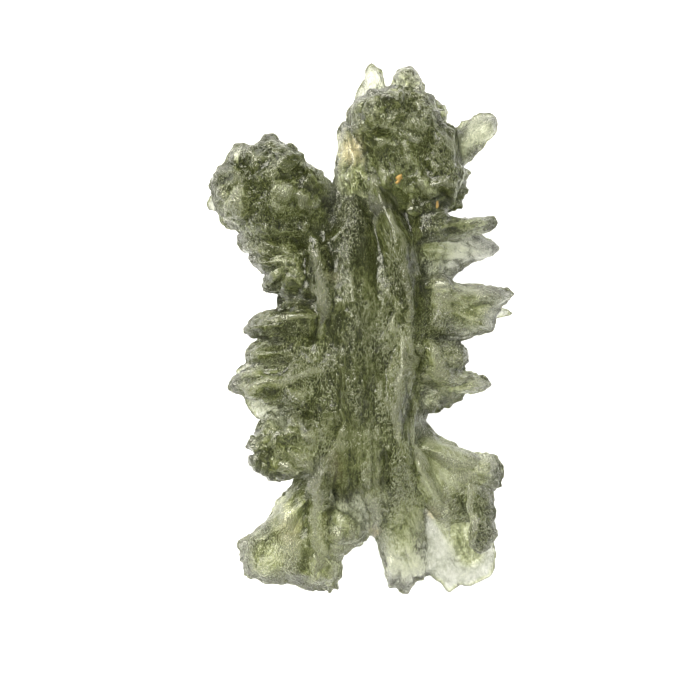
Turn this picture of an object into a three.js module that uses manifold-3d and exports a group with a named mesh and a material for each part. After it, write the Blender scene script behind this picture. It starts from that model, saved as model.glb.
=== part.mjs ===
// A hedgehog moldavite: one natural piece of green tektite glass, lying on its back.
// Units are millimetres. +Z is up from the surface it rests on, +Y runs along its length.
//
// The stone is fused from four kinds of form, then etched:
//   lobe     a leaf, fin or slab with a thin rim, listed clockwise seen from above
//   spindle  a rib, buttress or spine that follows a curve and tapers
//   rock     a crumpled lump
//   cup      an etched hollow, cut out of the fused stone
// It stands on the flat patches that the resting plane leaves on its lowest lumps.

import * as THREE from "three";
import { mergeVertices } from "three/addons/utils/BufferGeometryUtils.js";
import Module from "manifold-3d";

const wasm = await Module();
wasm.setup();

// Driving dimensions
const LENGTH = 40.3; // the stone's length along Y
const MID_HEIGHT = 5; // height of its long axis above the resting plane
const CRUMPLE = 0.09; // how far a lobe's inner points stray, as a share of its size
const STRAY = 0.44; // how far a lump's corners stray, as a share of its size
const FLUTE = { ridge: 1.12, groove: 0.78, stray: 0.16 }; // girth of a spindle at its edges
const UNDER_SPINE = { wide: 1.1, deep: 0.9, rootHeight: 2.8 };
const CUP = {
  count: 16, // rays that look for a place
  wall: 3, // least thickness of glass that a cup is etched into
  slant: 0.7, // cosine of the steepest surface that one is etched into
  wide: [0.9, 1.6], // half width
  stretch: [1.3, 2.4], // length over width
  flat: 0.8, // height over width
  depth: [0.27, 0.63], // how deep it bites
  spread: [9, 32], // stretch of the long axis that the rays aim at, across and along
};

// A repeatable number from 0 to 1 for each pair of whole numbers.
function chance(i, k = 0) {
  const s = Math.sin(i * 127.1 + k * 311.7 + 74.7) * 43758.5453;
  return s - Math.floor(s);
}

function between([low, high], share) {
  return low + (high - low) * share;
}

// ---------------------------------------------------------------- solids

function solidOf(geometry) {
  const bare = geometry.clone();
  bare.deleteAttribute("normal");
  bare.deleteAttribute("uv");
  const merged = mergeVertices(bare, 1e-4);
  const corners = merged.index.array;
  const kept = [];
  for (let i = 0; i < corners.length; i += 3) {
    const [a, b, c] = [corners[i], corners[i + 1], corners[i + 2]];
    if (a !== b && b !== c && c !== a) kept.push(a, b, c);
  }
  return new wasm.Manifold(
    new wasm.Mesh({
      numProp: 3,
      vertProperties: new Float32Array(merged.attributes.position.array),
      triVerts: new Uint32Array(kept),
    }),
  );
}

function geometryOf(solid) {
  const mesh = solid.getMesh();
  const points = new Float32Array(mesh.numVert * 3);
  for (let i = 0; i < mesh.numVert; i++) {
    const at = i * mesh.numProp;
    points.set(mesh.vertProperties.subarray(at, at + 3), i * 3);
  }
  const geometry = new THREE.BufferGeometry();
  geometry.setAttribute("position", new THREE.BufferAttribute(points, 3));
  geometry.setIndex(new THREE.BufferAttribute(new Uint32Array(mesh.triVerts), 1));
  return geometry;
}

// ---------------------------------------------------------------- forms

// Across a lobe: share of the way from its heart to its rim, and share of its thickness.
const LOBE_SECTION = [
  [0, -1],
  [0.66, -0.74],
  [1, 0],
  [0.66, 0.74],
  [0, 1],
];

function lobe({ rim, heart, z, up, down, lean = [0, 0], seed = 1 }) {
  const section = LOBE_SECTION.map(([share, rise]) => new THREE.Vector2(share, rise));
  const geometry = new THREE.LatheGeometry(section, rim.length);
  const place = geometry.attributes.position;
  const rings = section.length;
  for (let i = 0; i <= rim.length; i++) {
    const at = (rim.length - i) % rim.length;
    const [rx, ry] = rim[at];
    const ridge = ridgeShare(rim, at, heart);
    for (let j = 0; j < rings; j++) {
      const { x: share, y: rise } = section[j];
      const stray = share > 0 && share < 1 ? CRUMPLE * (chance(at * 7 + j, seed) - 0.5) * 2 : 0;
      const x = heart[0] + (rx - heart[0]) * (share + stray);
      const y = heart[1] + (ry - heart[1]) * (share + stray);
      const tall = rise > 0 ? up : down;
      const body = rise * tall * (share > 0 ? ridge : 1) * (1 + stray * 3);
      const lie = z + lean[0] * (x - heart[0]) + lean[1] * (y - heart[1]);
      place.setXYZ(i * rings + j, x, y, lie + body);
    }
  }
  return solidOf(geometry);
}

// Glass is thicker on the line to a tip and thinner on the line to a notch.
const RIDGE_GAIN = 1.2;
const RIDGE_RANGE = [0.7, 1.35];

function ridgeShare(rim, at, heart) {
  const reach = (k) => {
    const [x, y] = rim[(k + rim.length) % rim.length];
    return Math.hypot(x - heart[0], y - heart[1]);
  };
  const beside = (reach(at - 1) + reach(at + 1)) / 2;
  return THREE.MathUtils.clamp(1 + RIDGE_GAIN * (reach(at) / beside - 1), ...RIDGE_RANGE);
}

// Along a spindle: share of its length, and share of its girth.
const RIB_TAPER = [
  [0, 0],
  [0.14, 0.6],
  [0.38, 1],
  [0.62, 1],
  [0.86, 0.6],
  [1, 0],
];
const BUTTRESS_TAPER = [
  [0, 0],
  [0.25, 0.8],
  [0.55, 1],
  [0.86, 0.5],
  [1, 0],
];
const SPINE_TAPER = [
  [0, 0],
  [0.02, 1],
  [0.5, 0.8],
  [0.88, 0.36],
  [1, 0],
];

const SPINDLE_SIDES = 6;

function spindle({ path, wide, deep, taper = SPINE_TAPER, seed = 1 }) {
  const line = new THREE.CatmullRomCurve3(path.map((p) => new THREE.Vector3(...p)));
  const section = taper.map(([share, girth]) => new THREE.Vector2(girth, share));
  const geometry = new THREE.LatheGeometry(section, SPINDLE_SIDES);
  const place = geometry.attributes.position;
  const upright = new THREE.Vector3(0, 0, 1);
  for (let i = 0; i <= SPINDLE_SIDES; i++) {
    const at = i % SPINDLE_SIDES;
    const turn = (at / SPINDLE_SIDES) * Math.PI * 2;
    const flute = at % 2 ? FLUTE.groove : FLUTE.ridge;
    for (let j = 0; j < section.length; j++) {
      const { x: girth, y: share } = section[j];
      const point = line.getPointAt(share);
      const along = line.getTangentAt(share);
      const side = new THREE.Vector3().crossVectors(along, upright).normalize();
      const above = new THREE.Vector3().crossVectors(side, along);
      const size = girth * flute * (1 + FLUTE.stray * (chance(at * 11 + j, seed) - 0.5));
      point.addScaledVector(side, Math.sin(turn) * wide * size);
      point.addScaledVector(above, Math.cos(turn) * deep * size);
      place.setXYZ(i * section.length + j, point.x, point.y, point.z);
    }
  }
  return solidOf(geometry);
}

function rock({ at, size, seed }) {
  const geometry = new THREE.IcosahedronGeometry(1, 1);
  geometry.deleteAttribute("normal");
  geometry.deleteAttribute("uv");
  const lump = mergeVertices(geometry, 1e-4);
  const place = lump.attributes.position;
  const point = new THREE.Vector3();
  for (let i = 0; i < place.count; i++) {
    point.fromBufferAttribute(place, i).multiplyScalar(1 + STRAY * (chance(i, seed) - 0.5));
    place.setXYZ(i, point.x, point.y, point.z);
  }
  const turn = new THREE.Euler(chance(1, seed) * 6, chance(2, seed) * 6, chance(3, seed) * 6);
  lump.applyMatrix4(new THREE.Matrix4().makeRotationFromEuler(turn));
  lump.scale(...size);
  lump.translate(...at);
  return solidOf(lump);
}

// ---------------------------------------------------------------- the stone's lobes

const LOBES = {
  trunk: {
    rim: [[-0.6, 11.6], [2, 11.2], [4.8, 9.4], [6, 5.6], [6.6, 2], [6.2, -2.8], [4.9, -6.6], [4.6, -9.4],
      [4.4, -12.8], [3, -15], [0.8, -15.6], [-1.6, -14.6], [-3.8, -12.4], [-5.2, -9], [-6.4, -5.4],
      [-6.6, -1], [-6.2, 3.4], [-5.6, 7.2], [-3, 10.2]],
    heart: [0.3, -1.6], z: 5.2, up: 2.5, down: 4.4,
  },
  head: {
    rim: [[-0.5, 16.8], [0.6, 17.4], [2, 17.8], [3.6, 17.6], [5, 16.4], [6.3, 15.6], [7, 14.4],
      [7.3, 12], [7.9, 11.2], [7.5, 10.4], [7.9, 9.9], [7.2, 8.8], [5.8, 8], [3, 8.6], [1.2, 9.6],
      [0.2, 11.5], [-0.4, 13.2], [-0.9, 14.6], [-1.1, 16]],
    heart: [3.2, 13], z: 6, up: 2.6, down: 4.6,
  },
  headKnob: {
    rim: [[1.6, 17], [2.4, 18.4], [3, 19.1], [3.8, 19.3], [4.4, 18.5], [4.8, 17.6], [5.1, 17],
      [5.3, 15.9], [4.6, 15], [2.6, 15.2]],
    heart: [3.6, 17], z: 6.6, up: 1.6, down: 1.8,
  },
  crownLeaf: {
    rim: [[-0.5, 16.6], [-0.4, 17.6], [0.3, 18.9], [0.5, 19.7], [0.8, 20.1], [1.4, 19.5], [1.8, 18.5],
      [2.2, 17.8], [2.2, 16.4], [0.8, 15.6]],
    heart: [0.8, 17.4], z: 3.8, up: 0.5, down: 0.6, lean: [0, -0.15],
  },
  neckFin: {
    rim: [[-1.3, 15.3], [-0.7, 15], [0.2, 14], [0.8, 12], [1.2, 9.6], [-0.4, 9], [-1.8, 9.4],
      [-1.9, 10.6], [-1.7, 12.9], [-1.7, 14.6]],
    heart: [-0.5, 12], z: 5.4, up: 1.8, down: 2.2,
  },
  prism: {
    rim: [[6.6, 14.6], [7.2, 14.9], [8, 15.6], [8.9, 16.1], [9.7, 16.1], [10.3, 15.6], [10.3, 14.6],
      [9.5, 13.8], [8.3, 12.4], [7.3, 11.6], [6.2, 11.8], [5.8, 13.6]],
    heart: [8, 14], z: 4.8, up: 0.9, down: 0.9,
  },
  finger: {
    rim: [[3.6, 8.4], [6.2, 8.3], [6.9, 7.9], [8.8, 7.9], [9.9, 8.1], [10.2, 7.8], [9.8, 7.2], [8.4, 6.8],
      [6.6, 6.5], [3.6, 6.2]],
    heart: [6.2, 7.4], z: 6.3, up: 1.5, down: 1.7,
  },
  palmLeaf: {
    rim: [[5, 6.6], [7.4, 6.8], [9, 7], [10.2, 6.4], [10.6, 5.9], [10, 5.4], [8.9, 5.1], [7.8, 4.5],
      [6.7, 3.6], [5.2, 3.4], [4.2, 4.8]],
    heart: [6.8, 5.4], z: 4.2, up: 0.8, down: 1, lean: [-0.06, 0],
  },
  wingFin: {
    rim: [[4.4, 3.6], [6.2, 3.9], [6.9, 3.3], [7.5, 3], [8.8, 3], [11, 2.8], [11.5, 2.5], [10.9, 2],
      [10.3, 1.4], [10, 0.4], [9.9, -0.3], [8.8, -0.5], [7.5, -1.1], [6, -1.4], [4.2, -1]],
    heart: [6.6, 1.2], z: 5.6, up: 1.8, down: 2, lean: [-0.05, 0.05],
  },
  hipBlock: {
    rim: [[5, -0.6], [7.4, -1.1], [7.7, -1.9], [8, -2.6], [7.7, -3], [7.7, -3.6], [6.4, -4.4],
      [4.6, -4]],
    heart: [6, -2.4], z: 6, up: 1.9, down: 2.3,
  },
  hipSpike: {
    rim: [[4.6, -3.6], [6.4, -3.2], [7.7, -3.5], [8.8, -3.8], [9.9, -4.3], [9.6, -4.6], [8.8, -4.8],
      [7.6, -4.9], [7.5, -5.5], [6.3, -6.1], [5, -6.5], [4, -6.4]],
    heart: [6.2, -4.7], z: 4.8, up: 1.5, down: 1.7,
  },
  rightFoot: {
    rim: [[4.3, -6.6], [4.8, -7], [5.6, -8], [7.3, -9], [8.6, -9.4], [9.8, -9.6], [10.6, -10.1],
      [10.9, -11.1], [10.6, -12], [9.7, -12.2], [9.5, -13.6], [8.6, -14.6], [6.4, -14.8], [4.6, -13],
      [3.6, -10.6], [3.4, -8.2]],
    heart: [6.4, -11.4], z: 4.8, up: 1.5, down: 2.2, lean: [-0.05, 0],
  },
  rightFlap: {
    rim: [[8, -11.7], [9.7, -12], [9.9, -13.2], [9.8, -14.5], [10, -15.5], [9.6, -16.2], [8.9, -16.9],
      [8.1, -16.2], [8.2, -14.8], [8, -13.2]],
    heart: [9, -14.2], z: 6.6, up: 0.8, down: 2.2, lean: [0.12, 0],
  },
  rightFringe: {
    rim: [[3, -12.4], [6.6, -13], [8.8, -14.6], [9.8, -15.6], [10.3, -17.1], [10.2, -18.2], [10, -18.9],
      [8.3, -19.8], [7.4, -19.6], [6.7, -20.2], [6.1, -19.5], [5.3, -18.8], [4.3, -18.8], [3.4, -16.6]],
    heart: [6.6, -16.4], z: 3.6, up: 0.6, down: 0.6, lean: [-0.04, 0.08],
  },
  middleFoot: {
    rim: [[2.6, -11.6], [4.6, -12.4], [5, -14.6], [5.2, -17], [4.7, -19], [4, -19.4], [3.4, -20.2],
      [2.9, -19.8], [2.2, -19.7], [2, -18.8], [1.5, -17.2], [1.2, -15.9], [1, -13]],
    heart: [3, -16.2], z: 4, up: 1.2, down: 1.3, lean: [0, 0.05],
  },
  leftFoot: {
    rim: [[-3.6, -10.6], [-1, -12], [1, -14.6], [0.5, -15.8], [-0.1, -16.4], [-1.2, -17.3],
      [-1.5, -18.2], [-1.7, -19.6], [-2.2, -19.8], [-3.1, -19.9], [-5.3, -19.4], [-7, -19.3],
      [-8.7, -18.6], [-9.1, -17.5], [-9.4, -16.3], [-8.6, -15.8], [-7.7, -15], [-6.9, -14.5],
      [-5.8, -12.9], [-5, -11.5]],
    heart: [-4.4, -15.8], z: 4.4, up: 1.6, down: 2.3,
  },
  leftFootLeaf: {
    rim: [[-4.9, -11.9], [-3.6, -13.6], [-5, -15.6], [-7.2, -15], [-7, -14.3], [-6.7, -13.8],
      [-5.8, -12.7]],
    heart: [-5.4, -14], z: 3.3, up: 0.4, down: 0.5,
  },
  leftKnee: {
    rim: [[-4.8, -6], [-3.4, -7], [-3, -9], [-3.4, -11], [-5, -11.3], [-6.9, -11.2], [-7.6, -10.6],
      [-8, -9.7], [-8.6, -9], [-8.2, -8.4], [-7.9, -7.8], [-7.8, -7], [-6.4, -6.2]],
    heart: [-5.6, -8.8], z: 5, up: 2.5, down: 3,
  },
  kneeLeaf: {
    rim: [[-8.4, -4.4], [-3.4, -4], [-3, -7], [-7.9, -7], [-8.6, -6.1], [-9.1, -5]],
    heart: [-6, -5.6], z: 3.8, up: 0.5, down: 0.5, lean: [0.08, 0],
  },
  leftSpike: {
    rim: [[-4, -2.2], [-3.4, -4], [-4, -6.2], [-6.4, -5.8], [-8.9, -5.1], [-10, -4.6], [-9.5, -3.9],
      [-8.8, -3.2], [-7.4, -2.6], [-5.8, -2.2]],
    heart: [-6, -4.1], z: 5.6, up: 2.1, down: 2.4, lean: [0.08, 0],
  },
  leftScale: {
    rim: [[-3.8, -0.2], [-3.6, -1.6], [-4.2, -2.8], [-6.4, -3], [-8.6, -2.6], [-8.6, -1.9],
      [-8.3, -1.4], [-7.7, -0.9], [-6, -0.4]],
    heart: [-5.8, -1.8], z: 5, up: 2.1, down: 2.2,
  },
  spikeLeaf: {
    rim: [[-8.4, -2.5], [-3.4, -2.4], [-3.4, -4.4], [-8.6, -4.2], [-9.5, -3.9], [-9.4, -3.2],
      [-8.9, -2.7]],
    heart: [-6.6, -3.2], z: 4, up: 0.5, down: 0.5, lean: [0.04, 0],
  },
  leftThorn: {
    rim: [[-4.4, 1.9], [-3.4, 1.2], [-3, -0.2], [-4.4, -1.2], [-7, -0.9], [-8, -0.5], [-8.8, -0.2],
      [-8.2, 0.3], [-7.6, 0.8], [-6.5, 1.1], [-5.2, 1.6]],
    heart: [-5.4, 0.3], z: 6.4, up: 1.7, down: 2.2, lean: [0.06, 0],
  },
  thornLeaf: {
    rim: [[-5.9, 2], [-5.1, 2], [-2.8, 1.9], [-2.8, 0.6], [-5.8, 0.8], [-6.6, 1.5]],
    heart: [-4.6, 1.4], z: 3.6, up: 0.5, down: 0.5, lean: [0.06, 0],
  },
  leftPalm: {
    rim: [[-7, 7.8], [-5.2, 7], [-3.4, 5.6], [-3, 3.4], [-4, 1.6], [-5.2, 1.9], [-5.6, 2.1],
      [-6.4, 2.6], [-7.2, 2.7], [-6.9, 3.1], [-7.3, 3.5], [-7, 3.9], [-8.2, 4.6], [-8.5, 5.1],
      [-8.3, 5.6], [-9, 6], [-9.1, 6.6], [-8.8, 7.2]],
    heart: [-5.2, 4.8], z: 5, up: 2.3, down: 2.4,
  },
  shoulder: {
    rim: [[-6.7, 14.3], [-5.7, 13.6], [-4.9, 12.3], [-3.9, 12.1], [-3.1, 11.4], [-2.3, 10.6],
      [-1.6, 9.6], [-2.4, 7.4], [-4.4, 6.2], [-6.8, 6.2], [-8.6, 6.8], [-9.2, 8], [-10.4, 8.4],
      [-11, 9.2], [-11.2, 10.6], [-10.6, 11.9], [-10, 12.5], [-8.7, 13], [-7.5, 13.9]],
    heart: [-6.4, 10.2], z: 6, up: 2.8, down: 4.4,
  },
  shoulderLeaf: {
    rim: [[-10.6, 10.2], [-8.8, 9.6], [-8.4, 7.4], [-9, 7], [-10.6, 7.8], [-11, 8.8], [-11.7, 9.2],
      [-11.4, 9.9]],
    heart: [-9.8, 8.7], z: 4, up: 0.5, down: 0.5,
  },
};

// ---------------------------------------------------------------- ribs and spines

const RIBS = [
  // along the back
  { path: [[-1.4, 11, 5.8], [-0.8, 5, 6.9], [-0.4, -3, 7], [-0.2, -13, 5.4]], wide: 2.4, deep: 1.3 },
  { path: [[-4.4, 9.6, 6], [-3.4, 6, 6.9], [-2.6, 2.5, 7], [-3, -2.4, 6.2]], wide: 1.3, deep: 1.2 },
  {
    path: [[0.4, 12.6, 6.6], [1.7, 8.7, 7.2], [3.3, 3.8, 7.2], [3.6, -1, 6.9], [3.3, -5, 6.2]],
    wide: 1.2, deep: 1.3,
  },
  { path: [[2.8, 1, 6.2], [3, -2.7, 7], [2.4, -6.2, 7], [2.9, -10, 5.6]], wide: 1.1, deep: 1.2 },
  { path: [[2.9, -7, 5.8], [4.1, -9.9, 6.1], [5.6, -12.8, 5.6], [6.6, -15.8, 4.4]], wide: 0.9, deep: 1.1 },
  { path: [[-1.6, -7, 5.8], [-2.8, -11, 6.2], [-3.4, -15, 5.3], [-3.2, -19.4, 4.2]], wide: 1, deep: 1.1 },
  { path: [[0.4, -10, 5.6], [0.9, -13, 5.6], [1, -15.9, 4.5]], wide: 0.9, deep: 1 },
  // along the belly
  { path: [[-1.2, 9, 3.6], [0.4, 1, 2.2], [0.2, -6, 2.2], [-0.6, -13, 3]], wide: 1.8, deep: 1.6 },
];

// Ridges that run from the back out to the tips of the side fins.
const BUTTRESSES = [
  { path: [[3, 4, 6.6], [7.2, 1.9, 6.5], [11.4, 2.3, 5.9]], wide: 1, deep: 0.9 },
  { path: [[3.2, -0.8, 6.8], [5.6, -2.1, 7], [7.9, -2.7, 6.6]], wide: 1, deep: 0.9 },
  { path: [[3.2, -3.4, 6], [7.2, -4, 5.7], [10, -4.3, 4.8]], wide: 1, deep: 0.8 },
  { path: [[3.2, -8.2, 5.8], [6.8, -10, 5.8], [10.3, -10.8, 4.9]], wide: 1.1, deep: 0.9 },
  { path: [[-2.6, 6.4, 6.4], [-5, 5, 6.4], [-7.4, 2.6, 5.4]], wide: 1.1, deep: 1 },
  { path: [[-2.4, 0.8, 6.8], [-5.8, 0.1, 7.1], [-8.8, -0.4, 6.6]], wide: 1.1, deep: 1 },
  { path: [[-2.4, -3, 6.6], [-6.2, -4, 6.8], [-10, -4.6, 5.8]], wide: 1.2, deep: 1 },
  { path: [[-2.2, -7.8, 6.2], [-5.8, -8.6, 6.6], [-8.7, -9, 5.6]], wide: 1.2, deep: 1 },
  { path: [[-3, -11.6, 5.6], [-5.8, -14.8, 5.2], [-8.9, -16.8, 4.3]], wide: 1.2, deep: 1 },
];

const SPINES = [
  // right side
  { path: [[5, 12, 5.4], [8.3, 11.4, 5.6]], wide: 0.7, deep: 0.7 },
  { path: [[5, 10, 6.2], [8, 10.2, 6.6]], wide: 0.7, deep: 0.7 },
  { path: [[4.8, 9.8, 5], [7.7, 9.4, 5]], wide: 0.7, deep: 0.8 },
  { path: [[3.6, 2, 4.4], [8, 1.3, 3.8], [11.7, 1, 3.4]], wide: 1.1, deep: 0.6 },
  // crown
  { path: [[4.2, 15, 7], [4.9, 17.2, 7.8]], wide: 0.7, deep: 0.8 },
  { path: [[2.9, 15.4, 7], [3.4, 19.1, 7.2]], wide: 0.8, deep: 0.9 },
  // left side
  { path: [[-7, 9.6, 4.6], [-11.7, 9.2, 4.2]], wide: 0.9, deep: 0.6 },
];

// Tips of the spines on the underside, which all spring from under the middle line.
const UNDER_TIPS = [
  [-7.6, 6.2, 2], [-6.4, 3.2, 1.3], [-7.8, -0.9, 2.4],
  [-7.8, -4.5, 1.9], [-7.4, -9.4, 1.6], [-7.9, -16.8, 2.2],
  [6.8, 10, 2.2], [8.7, 6, 2.6], [8.9, 1.6, 1.8],
  [7.4, -2.6, 2.6], [7.6, -4.5, 2], [8.8, -10.9, 2.2],
];

// ---------------------------------------------------------------- lumps

const ROCKS = [
  // head
  { at: [0.8, 15.6, 7], size: [1.7, 1.5, 1.6] },
  { at: [2.6, 15.7, 8], size: [1.9, 1.5, 1.7] },
  { at: [4.4, 14.8, 8.2], size: [1.6, 1.6, 1.7] },
  { at: [5.6, 12.9, 7.8], size: [1.4, 1.9, 2] },
  { at: [6, 11, 7], size: [1.4, 1.5, 2] },
  { at: [5, 9.2, 6.6], size: [1.9, 1.4, 1.8] },
  { at: [3.4, 12.6, 3], size: [3.2, 3.8, 3.6] },
  { at: [4.4, 15.4, 4.4], size: [2.2, 2, 2.4] },
  // shoulder
  { at: [-8.4, 11.8, 6.6], size: [1.9, 1.6, 1.7] },
  { at: [-6.1, 12.2, 7.2], size: [1.8, 1.6, 1.7] },
  { at: [-8.8, 9.6, 6.6], size: [1.7, 1.6, 1.9] },
  { at: [-6.4, 9.6, 7.6], size: [1.5, 2, 1.8] },
  { at: [-4, 10, 6.8], size: [1.6, 1.9, 1.9] },
  { at: [-6.2, 7.5, 6.4], size: [2.4, 1.2, 1.8] },
  { at: [-6.8, 10, 3], size: [3, 3, 3.6] },
  { at: [-4.2, 8, 3], size: [2.2, 2.4, 2.2] },
  // knee, feet and underside
  { at: [-6.4, -9.6, 6], size: [1.7, 1.5, 1.4] },
  { at: [-4.4, -15, 2.6], size: [2.2, 3, 3.2] },
  { at: [5.6, -11.4, 2.8], size: [3, 2.8, 2.9] },
  { at: [3, -15.4, 3.4], size: [1.7, 3, 1.7] },
  { at: [0.2, -3.4, 2.8], size: [3, 4.4, 2.6] },
  { at: [-0.6, 3.6, 2.8], size: [2.8, 3.8, 2.4] },
];

// ---------------------------------------------------------------- fusing and etching

function fuse(solids) {
  return solids.reduce((whole, next) => whole.add(next));
}

// Cups lie where rays from all round, aimed at the stone's long axis, meet thick glass.
function etch(stone) {
  const skin = new THREE.Mesh(geometryOf(stone), new THREE.MeshBasicMaterial({ side: THREE.DoubleSide }));
  const cups = [];
  for (let i = 0; i < CUP.count; i++) {
    const { from, hits } = look(skin, i);
    if (hits.length < 2 || hits[1].distance - hits[0].distance < CUP.wall) continue;
    if (hits[0].face.normal.dot(from) < CUP.slant) continue;
    cups.push(cup(hits[0], i));
  }
  return stone.subtract(fuse(cups));
}

const GOLDEN_ANGLE = Math.PI * (3 - Math.sqrt(5));

// The ray of one place to look: where it comes from, and what it meets, each surface once.
function look(skin, i) {
  const turn = i * GOLDEN_ANGLE;
  const from = new THREE.Vector3(Math.cos(turn), 0.5 * (chance(i, 3) - 0.5), 1.3 * Math.sin(turn));
  from.normalize();
  const [across, along] = CUP.spread;
  const aim = new THREE.Vector3(across * (chance(i, 1) - 0.5), along * (chance(i, 2) - 0.5), MID_HEIGHT);
  const start = from.clone().multiplyScalar(1.5 * LENGTH).add(aim);
  const met = new THREE.Raycaster(start, from.clone().negate()).intersectObject(skin);
  const hits = met.filter((hit, k) => k === 0 || hit.distance - met[k - 1].distance > 1e-3);
  return { from, hits };
}

function cup({ point, face }, seed) {
  const wide = between(CUP.wide, chance(seed, 4));
  const shape = new THREE.OctahedronGeometry(1, 1);
  shape.scale(wide, wide * between(CUP.stretch, chance(seed, 5)), wide * CUP.flat);
  const flow = new THREE.Vector3(0.3, 1, 0.1);
  shape.applyMatrix4(new THREE.Matrix4().lookAt(face.normal, new THREE.Vector3(), flow));
  const lift = wide * CUP.flat - between(CUP.depth, chance(seed, 6));
  shape.translate(...point.clone().addScaledVector(face.normal, lift).toArray());
  return solidOf(shape);
}

// Takes off what reaches below the resting plane, so that the lowest lumps get flat patches.
function seat(stone) {
  const below = new THREE.BoxGeometry(2 * LENGTH, 2 * LENGTH, 2 * MID_HEIGHT);
  below.translate(0, 0, -MID_HEIGHT);
  return stone.subtract(solidOf(below));
}

// Puts the middle of the stone's underside at the origin and brings it to its exact length.
function settle(geometry) {
  geometry.computeBoundingBox();
  const middle = geometry.boundingBox.getCenter(new THREE.Vector3());
  const size = geometry.boundingBox.getSize(new THREE.Vector3());
  geometry.translate(-middle.x, -middle.y, -geometry.boundingBox.min.z);
  const scale = LENGTH / size.y;
  geometry.scale(scale, scale, scale);
  return geometry;
}

// An underside spine springs from under the middle line and runs out to its tip.
function underSpine([x, y, z], seed) {
  const { wide, deep, rootHeight } = UNDER_SPINE;
  const path = [
    [x * 0.25, y * 0.92, rootHeight],
    [x * 0.6, y * 0.95, z + 0.3],
    [x, y, z],
  ];
  return spindle({ path, wide, deep, seed });
}

const lobes = Object.values(LOBES).map((form, seed) => lobe({ ...form, seed }));
const ribs = RIBS.map((form, seed) => spindle({ ...form, taper: RIB_TAPER, seed }));
const buttresses = BUTTRESSES.map((form, seed) => spindle({ ...form, taper: BUTTRESS_TAPER, seed }));
const spines = SPINES.map((form, seed) => spindle({ ...form, seed }));
const underSpines = UNDER_TIPS.map(underSpine);
const rocks = ROCKS.map((form, seed) => rock({ ...form, seed: seed + 1 }));
const body = etch(fuse([...lobes, ...ribs, ...buttresses, ...rocks]));
const stone = seat(fuse([body, ...spines, ...underSpines]));

const glass = new THREE.MeshStandardMaterial({ color: 0x6f7550, roughness: 0.35, metalness: 0 });
const moldavite = new THREE.Mesh(settle(geometryOf(stone)), glass);
moldavite.name = "moldavite";

const part = new THREE.Group();
part.add(moldavite);

export default part;
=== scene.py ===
"""A raw hedgehog moldavite: one piece of etched olive-green tektite glass, lying on its back.

The glass is carved from a copy of the stone's CAD solid. Its facets are melted together, forms
0.5 to 4 mm across are etched into the skin, the skin is closed again, and a finer etch is added.
How pale the skin is, with painted highlights on its crests and painted shade in its hollows, how
thin the glass is and where worm tracks show are stored on its points for the material. Two crumbs
of ochre clay sit in the etch. Lengths are in metres, except in names that
end in _MM, in arrays called mm, and in the tables that are drawn on the stone.
"""

import math

import bmesh
import bpy
import numpy as np
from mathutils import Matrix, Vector
from mathutils.bvhtree import BVHTree


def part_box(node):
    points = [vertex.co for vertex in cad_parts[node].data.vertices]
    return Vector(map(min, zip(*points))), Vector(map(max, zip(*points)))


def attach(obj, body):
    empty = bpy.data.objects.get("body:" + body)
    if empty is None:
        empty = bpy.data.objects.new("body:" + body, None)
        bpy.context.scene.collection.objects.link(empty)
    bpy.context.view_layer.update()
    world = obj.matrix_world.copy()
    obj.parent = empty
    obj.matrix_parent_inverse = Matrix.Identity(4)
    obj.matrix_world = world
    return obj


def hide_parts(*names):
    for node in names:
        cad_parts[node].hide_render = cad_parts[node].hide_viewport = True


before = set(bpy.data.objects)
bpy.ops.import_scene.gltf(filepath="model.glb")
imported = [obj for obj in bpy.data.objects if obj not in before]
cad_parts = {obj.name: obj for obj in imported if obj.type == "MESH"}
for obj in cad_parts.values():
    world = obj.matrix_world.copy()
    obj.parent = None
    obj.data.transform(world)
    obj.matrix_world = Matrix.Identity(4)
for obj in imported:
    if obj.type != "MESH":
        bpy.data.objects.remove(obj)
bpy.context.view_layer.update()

MM = 0.001
STONE = "moldavite"
LOW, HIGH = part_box(STONE)
LENGTH = HIGH.y - LOW.y
MID_Z = 0.5 * (LOW.z + HIGH.z)
DRAWN_LENGTH_MM = 40.3
STONE_MM = LENGTH / DRAWN_LENGTH_MM  # one millimetre of the drawing tables, on this stone

# How fine the skin is at each pass, and how many faces the finished glass keeps
MELT_VOXEL_MM = 0.13
SKIN_VOXEL_MM = 0.11
SWELL_MM = 0.05  # puts back what the melting takes off the thin edges
FINISHED_FACES = 196000


# ------------------------------------------------------------------------------ noise fields

# Odd whole numbers that stir the bits of a lattice point
STIR = (np.uint32(73856093), np.uint32(19349663), np.uint32(83492791))
MIX = (np.uint32(1274126177), np.uint32(2246822519))
LAYER_SEED = 13  # how far apart the seeds of a noise's layers are


def scramble(x, y, z, seed):
    """A repeatable whole number for each lattice point."""
    h = x * STIR[0] ^ y * STIR[1] ^ z * STIR[2]
    h = h ^ np.uint32(seed * 2654435 + 97)
    h = (h ^ (h >> np.uint32(13))) * MIX[0]
    h = (h ^ (h >> np.uint32(15))) * MIX[1]
    return h ^ (h >> np.uint32(16))


def lattice_vector(corner, seed):
    """Three numbers from 0 to 1 for each lattice point."""
    x, y, z = (corner[:, i].astype(np.int64).astype(np.uint32) for i in range(3))
    h = scramble(x, y, z, seed)
    ten_bits = 1023
    parts = [(h >> np.uint32(shift)) & np.uint32(ten_bits) for shift in (0, 10, 20)]
    return np.stack(parts, axis=1) / float(ten_bits)


def smooth_noise(points, seed):
    """Gradient noise, about -1 to 1, with features one unit across."""
    base = np.floor(points)
    part = points - base
    fade = part * part * part * (part * (part * 6 - 15) + 10)
    total = np.zeros(len(points))
    for i in (0, 1):
        for j in (0, 1):
            for k in (0, 1):
                step = np.array([i, j, k])
                slope = lattice_vector(base + step, seed) * 2 - 1
                value = ((part - step) * slope).sum(axis=1)
                share = np.where(step, fade, 1 - fade).prod(axis=1)
                total += value * share
    return total * 1.5


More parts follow.
